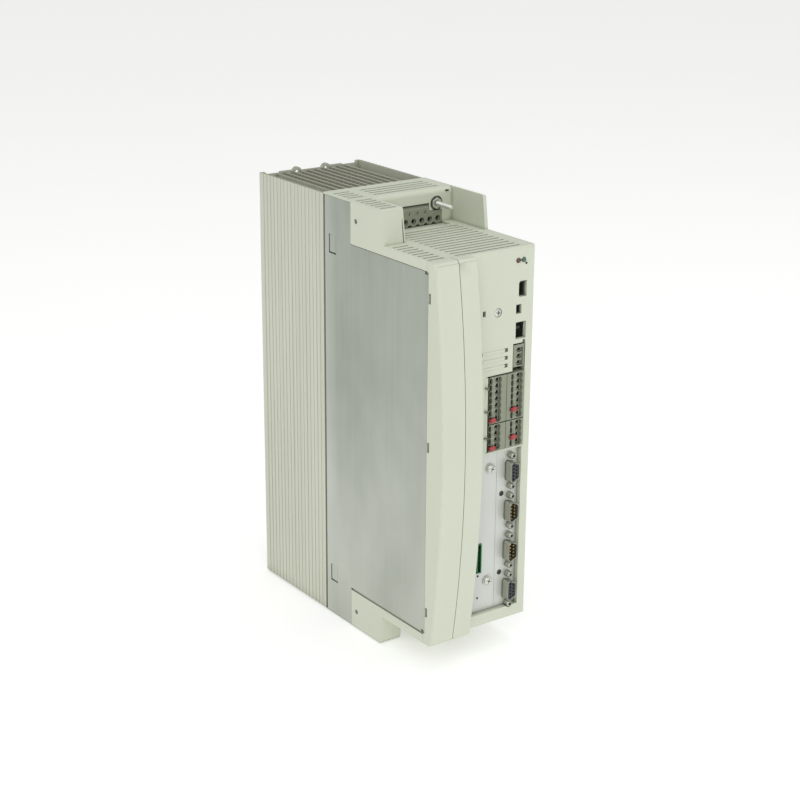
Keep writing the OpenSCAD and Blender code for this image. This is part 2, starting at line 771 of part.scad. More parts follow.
module keypad_port() {
    color(black) difference() {
        box([34.4, y_panel + 2.2, 286.4], [40.6, y_board - 0.05, 296.9]);
        box([35.4, y_panel + 1, 287.6], [39.6, y_panel + 9, 295.7]);
        box([36.4, y_panel + 1, 286], [38.6, y_panel + 4, 288]);
    }
}

module service_socket() {
    color(black) open_header([32.1, 36.4], [273.3, 279.6], y_panel + 2, y_board - 0.05, 2, 0.7);
}

jumper_pin_z = [for (i = [0:3]) 255.8 + i * 2.54];
jumper_pin_x = [35.2, 37.74];

module jumper_header() {
    color(black) box([33.9, y_board - 2.6, 254.2], [39.1, y_board - 0.05, 265]);
    color([0.80, 0.62, 0.25]) for (x = jumper_pin_x, z = jumper_pin_z)
        box([x - 0.32, y_board - 8.6, z - 0.32], [x + 0.32, y_board - 2.6 + e, z + 0.32]);
}

module jumper_cap() {
    z = jumper_pin_z[2];
    color([0.12, 0.12, 0.13]) difference() {
        box([jumper_pin_x[0] - 1.2, y_board - 9.8, z - 1.1],
            [jumper_pin_x[1] + 1.2, y_board - 3, z + 1.1]);
        for (x = jumper_pin_x) box([x - 0.65, y_board - 8.95, z - 0.65],
            [x + 0.65, y_board, z + 0.65]);
    }
}

// ------------------------------------------------------ pluggable terminals

// Solid pin through a pole, from the board header into the plug
module pole_pins(x, z0, n, y0, y1, step) {
    for (i = [0:n - 1]) translate([x, 0, z0 + (i + 0.5) * step])
        box([-0.5, y0, -0.5], [0.5, y1, 0.5]);
}

module pole_bores(x, z0, n, y0, y1, step) {
    for (i = [0:n - 1]) translate([x, 0, z0 + (i + 0.5) * step])
        box([-0.9, y0, -0.9], [0.9, y1, 0.9]);
}

// Opening from x0 to x1 with rounded ends, centred on z
function wire_outline(x0, x1, z, half, r) = concat(
    corner_arc([x0 + r, z - half + r], 270, 180, r), corner_arc([x0 + r, z + half - r], 180, 90, r),
    corner_arc([x1 - r, z + half - r], 90, 0, r), corner_arc([x1 - r, z - half + r], 0, -90, r));

module control_plug(col, row) {
    x0 = plug_x[col];
    n = plug_poles[row];
    z0 = plug_z[row];
    h = n * pole + 2 * plug_rim;
    zp = z0 + plug_rim;
    s = plug_shift[col];
    difference() {
        union() {
            box([x0, plug_front, z0], [x0 + plug_w, plug_rear, z0 + h]);
            for (i = [0:n - 1]) translate([x0 + 4.45 + s, plug_front, zp + (i + 0.5) * pole])
                rotate([90, 0, 0]) cylinder(r1 = 1, r2 = 0.6, h = 0.5);
        }
        for (i = [0:n - 1], o = [plug_hole, plug_screw]) {
            z = zp + (i + 0.5) * pole;
            r = min(2.15, (o[1] - o[0]) / 2 - e);
            front_profile(plug_front - 1, plug_front + plug_band,
                wire_outline(x0 + s + o[0], x0 + s + o[1], z, pole / 2 - 0.02, r));
            front_profile(plug_front, plug_front + (o == plug_hole ? 7.5 : 4),
                wire_outline(x0 + s + o[0] + 0.3, x0 + s + o[1] - 0.3, z, 2, r - 0.3));
        }
        box([x0 + s + plug_hole[0] + 0.7, plug_front - 1, zp + 0.4],
            [x0 + s + plug_hole[1] - 0.7, plug_front + 2.5, zp + n * pole - 0.4]);
        if (col == 0) box([x0 - 1, plug_front - 1, z0 - 1], [x0 + 0.9, plug_front + 4, z0 + h + 1]);
        pole_bores(x0 + 9 + s, zp, n, plug_rear - 4.2, plug_rear + 1, pole);
    }
}

// A tab on a foot between the openings of one pole
module coding_tab(col, row, at) {
    x0 = plug_x[col] + plug_shift[col];
    z = plug_z[row] + plug_rim + (at + 0.5) * pole;
    color([0.75, 0.10, 0.14]) translate([x0, plug_front, z]) difference() {
        union() {
            box([0.2, -1.7, -1.2], [6.3, -0.6, 1.2]);
            box([1.9, -1.9, -1.7], [5, -0.6, 1.7]);
            box([3.25, -0.7, -1.2], [5.6, 0, 1.2]);
        }
        box([3.3, -0.61, -1.05], [5.55, 1, 1.05]);
        box([-1, -2.5, -0.35], [1.3, 1, 0.35]);
        box([5.7, -2.5, -0.35], [7, 1, 0.35]);
    }
}

module upper_left_plug() {
    color(grey) control_plug(0, 1);
}

module upper_right_plug() {
    color(grey) control_plug(1, 1);
}

module lower_left_plug() {
    color(grey) control_plug(0, 0);
}

module lower_right_plug() {
    color(grey) control_plug(1, 0);
}

module upper_left_coding_tab() {
    coding_tab(0, 1, 0);
}

module upper_right_coding_tab() {
    coding_tab(1, 1, 1);
}

module lower_left_coding_tab() {
    coding_tab(0, 0, 0);
}

module lower_right_coding_tab() {
    coding_tab(1, 0, 1);
}

module terminal_headers() {
    color([0.30, 0.32, 0.29]) for (col = [0, 1], row = [0, 1]) {
        x0 = plug_x[col];
        n = plug_poles[row];
        box([x0 + 0.4, plug_rear + 0.35, plug_z[row] + 0.4],
            [x0 + plug_w - 0.4, y_board - 0.05, plug_z[row] + n * pole + 2 * plug_rim - 0.4]);
        pole_pins(x0 + 9 + plug_shift[col], plug_z[row] + plug_rim, n, plug_rear - 3.6,
            plug_rear + 0.35 + e, pole);
    }
}

bus_x = [30.6, 40.9];
bus_z = [231.4, 248.7];
bus_pole = bus_z[0] + 0.2;   // lower end of the lowest pole
bus_hole_x = [34.4, 39.8];

module bus_header() {
    color([0.30, 0.32, 0.29]) {
        box([bus_x[0], plug_rear + 0.35, bus_z[0]], [bus_x[1], y_board - 0.05, bus_z[1]]);
        pole_pins(37, bus_pole, 3, plug_rear - 3.6, plug_rear + 0.35 + e, pole);
    }
}

module bus_plug() {
    y0 = y_panel + 0.4;
    color(grey) difference() {
        box([bus_x[0], y0, bus_z[0]], [bus_x[1], plug_rear, bus_z[1]]);
        box([bus_hole_x[0], y0 - 1, bus_pole + 0.6], [bus_hole_x[1], y0 + plug_band,
            bus_pole + 3 * pole - 0.6]);
        for (i = [0:2]) {
            z = bus_pole + (i + 0.5) * pole;
            front_profile(y0 - 1, y0 + 6.5,
                wire_outline(bus_hole_x[0] + 0.3, bus_hole_x[1] - 0.3, z, 1.9, 1.5));
            rod_y([bus_hole_x[0], y0 - 1, z], 1.05, 3);
        }
        pole_bores(37, bus_pole, 3, plug_rear - 4.2, plug_rear + 1, pole);
    }
}

// -------------------------------------------------------- power terminals

power_y0 = y_face - 0.4;
power_y1 = y_face + 13;
screw_z = 9.3;
wire_z = 2.8;
power_z0 = -1.3;     // underside of the plug, in the pit
screw_shift = 2.9;   // a clamp screw sits this far right of its wire opening

// The plug over the deck: scalloped at the deck side, lower under the stud
module power_plug(h) {
    n = power_poles;
    difference() {
        union() {
            box([x_block + 0.3, power_y0, power_z0],
                [power_low_x - 0.3, power_y1, power_top - 3.2]);
            side_profile(x_block + 0.3, power_low_x - 0.3, [[power_y0 + 0.01, power_top - 3.3],
                [power_y1, power_top - 3.3], [power_y1, power_top], [power_y0 + 3, power_top]]);
            box([power_low_x - 0.4, power_y0, power_z0], [power_x1, power_y1, low_top(h)]);
        }
        for (i = [0:n - 1]) {
            x = power_x1 - (i + 0.5) * power_pole;
            rod_y([x, power_y0 - 1, wire_z], 2.25, 8);
            if (i > 1) rod_y([x + screw_shift, power_y0 - 1, screw_z], 1.3, 3);
            if (i > 0) rod_y([x + power_pole / 2, power_y0 - 1, power_z0 - 0.6], 2.1, 7);
            pole_bores_x(x, power_y1 - 6.6, power_y1 + 1);
        }
    }
}

module pole_bores_x(x, y0, y1) {
    box([x - 1, y0, 3.4], [x + 1, y1, 5.4]);
}

module power_clamp_screws() {
    for (i = [2:power_poles - 1]) {
        x = power_x1 - (i + 0.5) * power_pole + screw_shift;
        difference() {
            rod_y([x, power_y0 + 0.4, screw_z], 1.15, 1.6);
            translate([x, power_y0 + 0.4, screw_z]) rotate([0, 35 + 40 * i, 0])
                cube([3, 0.9, 0.5], center = true);
        }
    }
}

module power_header(h) {
    y0 = power_y1 + 0.35;
    box([x_block + 0.5, y0, 0.6], [power_low_x - 0.4, y0 + 7, power_top - 0.2]);
    box([power_low_x - 0.5, y0, 0.6], [power_x1 - 0.2, y0 + 7, low_top(h) - 0.2]);
    for (i = [0:power_poles - 1]) {
        x = power_x1 - (i + 0.5) * power_pole;
        box([x - 0.6, y0 - 6, 3.8], [x + 0.6, y0 + e, 5]);
    }
}

module mains_plug() {
    color(grey) at_upper_end() power_plug(tower_h);
}

module motor_plug() {
    color(grey) at_lower_end() power_plug(foot_h);
}

module mains_clamp_screws() {
    color(zinc) at_upper_end() power_clamp_screws();
}

module motor_clamp_screws() {
    color(zinc) at_lower_end() power_clamp_screws();
}

module mains_header() {
    color([0.30, 0.32, 0.29]) at_upper_end() power_header(tower_h);
}

module motor_header() {
    color([0.30, 0.32, 0.29]) at_lower_end() power_header(foot_h);
}

stud_y0 = y_face - 20;
bracket_y = y_face + wall + 0.6;

nut_y = bracket_y - 4.2;     // front face of the nut
stud_core_r = 1.6;

module earth_stud(z) {
    rod_y([stud_x, stud_y0, z], stud_r, nut_y - 0.3 - stud_y0);
    rod_y([stud_x, nut_y - 0.4, z], stud_core_r, bracket_y - nut_y + 0.4);
}

module earth_studs() {
    color(zinc) {
        at_upper_end() earth_stud(tower_h - stud_drop);
        at_lower_end() earth_stud(foot_h - stud_drop);
    }
}

module earth_nut(h) {
    z = h - stud_drop;
    difference() {
        union() {
            rod_y([stud_x, bracket_y - 1, z], 5.1, 0.95);
            translate([stud_x, bracket_y - 1, z]) rotate([90, 30, 0])
                cylinder(r = 4.6, h = 3.2, $fn = 6);
        }
        rod_y([stud_x, y_face - 10, z], stud_core_r + 0.02, 20);
    }
}

module earth_nuts() {
    color(zinc) {
        at_upper_end() earth_nut(tower_h);
        at_lower_end() earth_nut(foot_h);
    }
}

module earth_bracket(h) {
    z = h - stud_drop;
    box([stud_x - 6.4, bracket_y, z - 4.4], [hw - 4.3, bracket_y + 1.5, z + 7]);
    box([hw - 5.8, bracket_y + 1.4, z - 4.4], [hw - 4.3, bracket_y + 20, z + 7]);
}

module earth_brackets() {
    color(zinc) {
        at_upper_end() earth_bracket(tower_h);
        at_lower_end() earth_bracket(foot_h);
    }
}

// -------------------------------------------------------------- inside

module control_board() {
    color(board_green) difference() {
        box([-40, y_board, z_chin + 18], [43, y_board + board_t, z_deck - 16]);
        for (p = standoff_at) rod_y([p[0], y_board - 1, p[1]], 1.6, 5);
        for (i = [0:3], s = [-1, 1])
            rod_y([port_x, y_board - 1, port_z + i * port_pitch + s * jack_pitch / 2], 1.8, 5);
    }
}

standoff_at = [[-37, 60], [-37, 290], [20, 290], [16, 46]];

module board_standoffs() {
    color(zinc) {
        for (p = standoff_at) difference() {
            rod_y([p[0], y_board + board_t + 0.02, p[1]], 3, 12);
            rod_y([p[0], y_board, p[1]], 1.5, 8);
        }
        for (p = board_stud_at) {
            rod_x([power_board_x + board_t + 0.02, p[0], p[1]], 2.5,
                tray_x - tray_t - power_board_x - board_t - 0.04);
            if (p[0] < 0) rod_x([-tray_x + tray_t + 0.02, p[0], p[1] + 5], 2.5, 2.36);
        }
    }
}

power_board_x = 36;
power_board_y = [y_board + 18, 12];

tray_x = 41.6;
tray_t = 1.2;
tray_y0 = y_board + board_t + 12.1;

// U-shaped tray on the heatsink that carries the boards
module board_tray() {
    z0 = 50;
    z1 = 300;
    color(zinc) difference() {
        box([-tray_x, tray_y0, z0], [tray_x, y_sink - 0.1, z1]);
        box([-tray_x + tray_t, tray_y0 + tray_t, z0 - 1], [tray_x - tray_t, y_sink + 1, z1 + 1]);
        for (z = [84, 142, 200, 258])
            box([-28, tray_y0 - 1, z - 22], [10, tray_y0 + 3, z + 22]);
        for (s = [-1, 1], z = [90, 175, 260])
            box([s * tray_x - 3, -40, z - 26], [s * tray_x + 3, 5, z + 26]);
    }
}

board_stud_at = [for (y = [-66, 8], z = [60, 292]) [y, z]];

module power_board() {
    color(board_green)
        box([power_board_x, power_board_y[0], 46], [power_board_x + board_t, power_board_y[1], 304]);
}

module driver_board() {
    color(board_green) box([-38, power_board_y[0], 56], [-38 + board_t, 4, 299]);
}

capacitor_at = [for (y = [-56, -22], z = [128, 162]) [y, z]];
capacitor_r = 15;

module dc_link_capacitors() {
    color([0.16, 0.19, 0.30]) for (p = capacitor_at) difference() {
        rod_x([power_board_x - 42, p[0], p[1]], capacitor_r, 41.9);
        for (a = [0, 90]) translate([power_board_x - 42, p[0], p[1]]) rotate([a, 0, 0])
            cube([0.8, 1, 18], center = true);
    }
}

module filter_choke() {
    color([0.62, 0.32, 0.14]) translate([power_board_x - 12.1, -40, 262]) rotate([0, 90, 0])
        rotate_extrude() translate([16, 0]) union() {
            translate([0, 6]) circle(6);
            translate([-3, 6]) square([6, 6]);
        }
}

module transformer() {
    color([0.35, 0.30, 0.18]) {
        box([power_board_x - 28, -58, 66], [power_board_x - 0.1, -28, 96]);
        box([power_board_x - 24, -62, 72], [power_board_x - 3, -24, 90]);
    }
}

module precharge_relay() {
    color([0.12, 0.25, 0.45])
        box([power_board_x - 16, -14, 240], [power_board_x - 0.1, 2, 268]);
}

module power_module() {
    color([0.20, 0.20, 0.21]) difference() {
        union() {
            box([-31, y_sink - 12.1, 130], [31, y_sink - 0.1, 220]);
            box([-22, y_sink - 17, 138], [22, y_sink - 12, 212]);
        }
        for (z = [136, 214]) rod_y([0, y_sink - 20, z], 2.6, 25);
    }
}

// ----------------------------------------------------------------- fan

fan_bore = fan_w / 2 - 1.6;
hub_r = 17;
shaft_r = 1.5;

module fan_frame() {
    color(black) translate([0, fan_y, fan_z]) difference() {
        union() {
            difference() {
                box([-fan_w / 2, -fan_w / 2, 0], [fan_w / 2, fan_w / 2, fan_h]);
                translate([0, 0, -1]) cylinder(r = fan_bore, h = fan_h + 2);
            }
            cylinder(r = hub_r, h = 3);
            cylinder(r = 4, h = 8);
            for (a = [20:90:290]) rotate([0, 0, a]) box([0, -2, 0], [fan_bore + 0.6, 2, 3]);
        }
        translate([0, 0, -1]) cylinder(r = shaft_r + 0.05, h = 20);
        for (x = [-1, 1], y = [-1, 1])
            translate([x * 35.7, y * 35.7, -1]) cylinder(r = 2.15, h = fan_h + 2);
    }
}

module fan_rotor() {
    color([0.15, 0.15, 0.16]) translate([0, fan_y, fan_z]) {
        difference() {
            translate([0, 0, 3.6]) cylinder(r = hub_r - 0.5, h = 18.4);
            translate([0, 0, 3.5]) cylinder(r = 9, h = 14);
        }
        translate([0, 0, 1]) cylinder(r = shaft_r, h = 18);
        intersection() {
            for (i = [0:blade_count - 1]) rotate([0, 0, i * 360 / blade_count])
                translate([hub_r - 1.5, 0, 12.8]) rotate([38, 0, 0])
                    box([0, -11, -0.7], [fan_r, 11, 0.7]);
            translate([0, 0, 4.4]) cylinder(r = fan_r, h = 17);
        }
    }
}

module fan_guard() {
    color(zinc) translate([0, fan_y, fan_z - 2.6]) {
        for (r = [8:7:36]) rotate_extrude() translate([r, 1.2]) circle(0.8, $fn = 16);
        for (a = [45, 135]) rotate([0, 0, a]) box([-52, -1, 0.6], [52, 1, 1.8]);
    }
}

heatsink();
rear_plate();
rear_plate_screws();
left_side_sheet();
right_side_sheet();
upper_housing();
lower_housing();
housing_screws();
left_cover();
front_panel();
panel_screw();
left_interface_plate();
right_interface_plate();
plate_screws();
red_light();
green_light();
female_port_shells();
female_port_inserts();
male_port_shells();
male_port_inserts();
male_port_contacts();
port_jackscrews();
signal_header();
keypad_port();
service_socket();
jumper_header();
jumper_cap();
bus_header();
bus_plug();
terminal_headers();
upper_left_plug();
upper_right_plug();
lower_left_plug();
lower_right_plug();
upper_left_coding_tab();
upper_right_coding_tab();
lower_left_coding_tab();
lower_right_coding_tab();
mains_header();
mains_plug();
mains_clamp_screws();
motor_header();
motor_plug();
motor_clamp_screws();
earth_studs();
earth_nuts();
earth_brackets();
control_board();
power_board();
driver_board();
board_tray();
dc_link_capacitors();
filter_choke();
transformer();
precharge_relay();
power_module();
board_standoffs();
fan_frame();
fan_rotor();
fan_guard();
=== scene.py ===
"""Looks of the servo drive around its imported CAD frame: metres, row frame, front towards -Y."""

import json
import math
import random

import bmesh
import bpy
from mathutils import Matrix, Vector


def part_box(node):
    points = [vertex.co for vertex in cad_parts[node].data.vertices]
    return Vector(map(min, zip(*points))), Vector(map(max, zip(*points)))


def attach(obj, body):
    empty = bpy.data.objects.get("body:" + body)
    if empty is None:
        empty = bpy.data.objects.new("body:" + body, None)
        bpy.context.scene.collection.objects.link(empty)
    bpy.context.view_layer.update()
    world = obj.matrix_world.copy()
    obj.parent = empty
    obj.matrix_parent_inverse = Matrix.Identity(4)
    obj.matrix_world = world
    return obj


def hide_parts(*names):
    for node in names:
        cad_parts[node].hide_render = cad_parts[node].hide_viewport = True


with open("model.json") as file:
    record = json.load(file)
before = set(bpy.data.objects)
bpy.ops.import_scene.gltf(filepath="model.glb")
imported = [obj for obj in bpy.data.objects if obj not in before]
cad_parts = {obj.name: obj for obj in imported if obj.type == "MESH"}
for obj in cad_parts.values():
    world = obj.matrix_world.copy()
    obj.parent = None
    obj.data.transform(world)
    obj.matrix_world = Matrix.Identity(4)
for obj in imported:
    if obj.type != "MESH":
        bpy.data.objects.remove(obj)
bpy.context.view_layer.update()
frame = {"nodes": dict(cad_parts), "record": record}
nodes = frame["nodes"]
MM = 0.001


# ------------------------------------------------------------------ materials


class Shader:
    """Builds one material: a Principled shader with layers of procedural detail."""

    def __init__(self, name, color, rough=0.5, metal=0.0, **sockets):
        self.mat = bpy.data.materials.new(name)
        self.mat.use_nodes = True
        self.mat.diffuse_color = (*color, 1)
        self.tree = self.mat.node_tree
        self.bsdf = self.tree.nodes["Principled BSDF"]
        self.set("Base Color", (*color, 1))
        self.set("Roughness", rough)
        self.set("Metallic", metal)
        for socket, value in sockets.items():
            self.set(socket.replace("_", " "), value)
        self.color = (*color, 1)
        self.rough = rough
        self.coords = self.node("ShaderNodeTexCoord").outputs["Object"]
        self.normal = None

    def node(self, kind, **values):
        made = self.tree.nodes.new(kind)
        for key, value in values.items():
            setattr(made, key, value)
        return made

    def set(self, socket, value):
        self.bsdf.inputs[socket].default_value = value

    def link(self, a, b):
        self.tree.links.new(a, b)

    def noise(self, scale, stretch=(1, 1, 1), detail=4, low=0.3, high=0.7):
        """Noise from 0 to 1, with `scale` blobs to a metre, stretched along an axis."""
        mapping = self.node("ShaderNodeMapping")
        mapping.inputs["Scale"].default_value = stretch
        self.link(self.coords, mapping.inputs["Vector"])
        tex = self.node("ShaderNodeTexNoise")
        tex.inputs["Scale"].default_value = scale
        tex.inputs["Detail"].default_value = detail
        self.link(mapping.outputs["Vector"], tex.inputs["Vector"])
        span = self.node("ShaderNodeMapRange")
        span.inputs["From Min"].default_value = low
        span.inputs["From Max"].default_value = high
        self.link(tex.outputs["Fac"], span.inputs["Value"])
        return span.outputs["Result"]

    def along(self, axis, start, end):
        """0 at `start` and 1 at `end` metres along an axis, smooth in between."""
        split = self.node("ShaderNodeSeparateXYZ")
        self.link(self.coords, split.inputs["Vector"])
        span = self.node("ShaderNodeMapRange", interpolation_type="SMOOTHSTEP")
        span.inputs["From Min"].default_value = start
        span.inputs["From Max"].default_value = end
        self.link(split.outputs[axis], span.inputs["Value"])
        return span.outputs["Result"]

    def facing(self, axis, start, end):
        """1 where the surface's normal points along an axis, 0 where it points across it."""
        split = self.node("ShaderNodeSeparateXYZ")
        self.link(self.node("ShaderNodeNewGeometry").outputs["Normal"], split.inputs["Vector"])
        span = self.node("ShaderNodeMapRange")
        span.inputs["From Min"].default_value = start
        span.inputs["From Max"].default_value = end
        self.link(split.outputs[axis], span.inputs["Value"])
        return span.outputs["Result"]

    def times(self, a, b):
        made = self.node("ShaderNodeMath", operation="MULTIPLY")
        for socket, value in zip(made.inputs, (a, b)):
            if isinstance(value, (int, float)):
                socket.default_value = value
            else:
                self.link(value, socket)
        return made.outputs[0]

    def crease_shade_mask(self, distance, inside=False):
        """1 in a crease or a hole, 0 in the open: the mask for painted shade."""
        ao = self.node("ShaderNodeAmbientOcclusion", inside=inside, samples=6)
        ao.inputs["Distance"].default_value = distance
        span = self.node("ShaderNodeMapRange")
        span.inputs["From Min"].default_value = 0.85
        span.inputs["From Max"].default_value = 0.25
        self.link(ao.outputs["AO"], span.inputs["Value"])
        return span.outputs["Result"]

    def tint(self, other, mask, amount=1.0):
        """Mixes another colour over the base colour where the mask is 1."""
        mix = self.node("ShaderNodeMix", data_type="RGBA")
        mix.inputs[7].default_value = (*other, 1)
        if isinstance(self.color, tuple):
            mix.inputs[6].default_value = self.color
        else:
            self.link(self.color, mix.inputs[6])
        self.link(self.times(mask, amount), mix.inputs[0])
        self.color = mix.outputs[2]
        self.link(self.color, self.bsdf.inputs["Base Color"])
        return self

    def gloss(self, other, mask, amount=1.0):
        """Mixes another roughness over the base roughness where the mask is 1."""
        mix = self.node("ShaderNodeMix", data_type="FLOAT")
        mix.inputs[3].default_value = other
        if isinstance(self.rough, (int, float)):
            mix.inputs[2].default_value = self.rough
        else:
            self.link(self.rough, mix.inputs[2])
        self.link(self.times(mask, amount), mix.inputs[0])
        self.rough = mix.outputs[0]
        self.link(self.rough, self.bsdf.inputs["Roughness"])
        return self

    def bump(self, height, depth, strength=1.0):
        """Raises the surface by up to `depth` metres where the height is 1."""
        made = self.node("ShaderNodeBump")
        made.inputs["Strength"].default_value = strength
        made.inputs["Distance"].default_value = depth
        self.link(height, made.inputs["Height"])
        if self.normal:
            self.link(self.normal, made.inputs["Normal"])
        self.normal = made.outputs["Normal"]
        self.link(self.normal, self.bsdf.inputs["Normal"])
        return self


def plastic(name, color, shade, rough=0.5, grain=0.00004, crease_shade=(0.22, 0.23, 0.17), amount=0.75,
            reach=0.004):
    """Moulded plastic: fine spark-eroded grain, faint flow marks, painted shade in its creases."""
    s = Shader(name, color, rough, Specular_IOR_Level=0.35)
    s.tint(shade, s.noise(26, (1, 1, 0.35), 3), 0.5)
    s.tint(shade, s.noise(900, detail=2), 0.18)
    # painted shade: darkens creases and holes towards a dark colour where shade falls
    s.tint(crease_shade, s.crease_shade_mask(reach), amount)
    s.gloss(rough + 0.12, s.noise(60, detail=3), 0.6)
    s.bump(s.noise(2600, detail=2, low=0.35, high=0.65), grain)
    s.bump(s.noise(40, detail=1), 0.00006, 0.4)
    return s.mat


def metal(name, color, shade, rough=0.3, brush=(1, 1, 0.02), scale=1400, scratch=0.00001,
          crease_shade=(0.16, 0.16, 0.13), metallic=1.0):
    """Brushed, rolled or drawn metal. `brush` is short along the brushing direction."""
    s = Shader(name, color, rough, metallic)
    s.tint(shade, s.noise(14, (1, 1, 0.6), 4), 0.6)
    s.tint(shade, s.noise(scale, brush, 2), 0.35)
    # painted shade: darkens creases and holes where shade falls
    s.tint(crease_shade, s.crease_shade_mask(0.003), 0.7)
    s.gloss(rough + 0.16, s.noise(scale, brush, 3), 0.7)
    s.gloss(rough + 0.1, s.noise(30, detail=4), 0.5)
    s.bump(s.noise(scale, brush, 2), scratch)
    return s.mat


def heatsink_metal():
    """Extruded aluminium: die lines along the extrusion, dull sawn ends whose brown tinge is partly
    the cut metal and partly painted shade on the recessed upward-facing tops, painted shade between
    the fins.
    """
    s = Shader("heatsink_aluminium", (0.70, 0.72, 0.61), 0.55, 0.45)
    s.tint((0.56, 0.58, 0.48), s.noise(700, (1, 1, 0.004), 2), 0.5)
    s.tint((0.52, 0.54, 0.45), s.noise(9, (1, 1, 0.5), 3), 0.4)
    # upward-facing tops darker: partly the dull sawn metal, partly painted shade on the recessed
    # fin tops
    s.tint((0.33, 0.325, 0.23), s.facing("Z", 0.4, 0.9), 0.75)
    # painted shade: darkens the gaps between the fins
    s.tint((0.16, 0.155, 0.10), s.crease_shade_mask(0.012), 0.55)
    s.gloss(0.68, s.noise(700, (1, 1, 0.004), 3), 0.6)
    s.bump(s.noise(900, (1, 1, 0.004), 2), 0.00002)
    s.bump(s.noise(1600, (1, 1, 1), 3), 0.00001)
    return s.mat


def side_sheet_metal():
    """Galvanised sheet: cloudy zinc, faint upright rolling lines, painted shade over its upper
    half.
    """
    s = Shader("galvanised_sheet", (0.52, 0.545, 0.485), 0.46, 0.7)
    # painted shade: darker over the upper half of the sheet
    s.tint((0.36, 0.40, 0.345), s.along("Z", 0.06, 0.25), 0.75)
    s.tint((0.25, 0.28, 0.235), s.noise(8, (1, 1, 0.55), 3, 0.38, 0.7), 0.55)
    s.tint((0.62, 0.64, 0.58), s.along("Y", 0.012, 0.03), 0.45)
    s.tint((0.60, 0.62, 0.57), s.noise(420, (1, 1, 0.015), 2), 0.12)
    # painted shade: darkens creases and holes
    s.tint((0.12, 0.12, 0.10), s.crease_shade_mask(0.003), 0.7)
    s.gloss(0.60, s.noise(70, (1, 1, 0.5), 4), 0.7)
    s.bump(s.noise(1300, (1, 1, 0.02), 2), 0.00001)
    s.bump(s.noise(30, detail=3), 0.00005, 0.5)
    return s.mat


def front_plate_metal():
    """Bright zinc-plated front plates, with painted shade and a painted darker reflection towards
    the curved front.
    """
    s = Shader("plate_steel", (0.61, 0.635, 0.60), 0.38, 0.55)
    # painted shade and reflection: darker towards the curved front on the left
    s.tint((0.40, 0.435, 0.42), s.along("X", 0.020, -0.010), 0.8)
    s.tint((0.62, 0.64, 0.61), s.noise(1500, (1, 1, 0.02), 2), 0.3)
    s.tint((0.66, 0.68, 0.64), s.noise(18, (1, 1, 0.4), 3), 0.4)
    # painted shade: darkens creases and holes
    s.tint((0.18, 0.18, 0.14), s.crease_shade_mask(0.003), 0.65)
    s.gloss(0.52, s.noise(1200, (1, 1, 0.02), 3), 0.6)
    s.bump(s.noise(1500, (1, 1, 0.02), 2), 0.00001)
    return s.mat


def light_pipe(name, color, deep):
    s = Shader(name, color, 0.2, Transmission_Weight=0.15, Coat_Weight=0.4)
    s.tint(deep, s.noise(700, detail=2), 0.6)
    # painted shade: darkens creases round the lens
    s.tint(deep, s.crease_shade_mask(0.002), 0.6)
    s.bump(s.noise(1500, detail=2), 0.00002)
    return s.mat


def laminate():
    """Circuit board: solder mask over copper traces that show as raised, paler lines."""
    s = Shader("solder_mask", (0.02, 0.11, 0.045), 0.35, Coat_Weight=0.3)
    brick = s.node("ShaderNodeTexBrick", offset=0.37, squash=0.6)
    brick.inputs["Scale"].default_value = 260
    brick.inputs["Mortar Size"].default_value = 0.03
    s.link(s.coords, brick.inputs["Vector"])
    s.tint((0.05, 0.22, 0.09), brick.outputs["Fac"], 0.8)
    s.tint((0.01, 0.05, 0.02), s.noise(90, detail=3), 0.5)
    s.bump(brick.outputs["Fac"], 0.00003)
    return s.mat


def winding():
    """Enamelled copper wire, laid side by side round the choke."""
    s = Shader("enamelled_wire", (0.42, 0.15, 0.05), 0.28, 0.6, Coat_Weight=0.6)
    wave = s.node("ShaderNodeTexWave", bands_direction="DIAGONAL")
    wave.inputs["Scale"].default_value = 320
    s.link(s.coords, wave.inputs["Vector"])
    s.tint((0.12, 0.04, 0.02), wave.outputs["Fac"], 0.6)
    s.bump(wave.outputs["Fac"], 0.0003)
    return s.mat


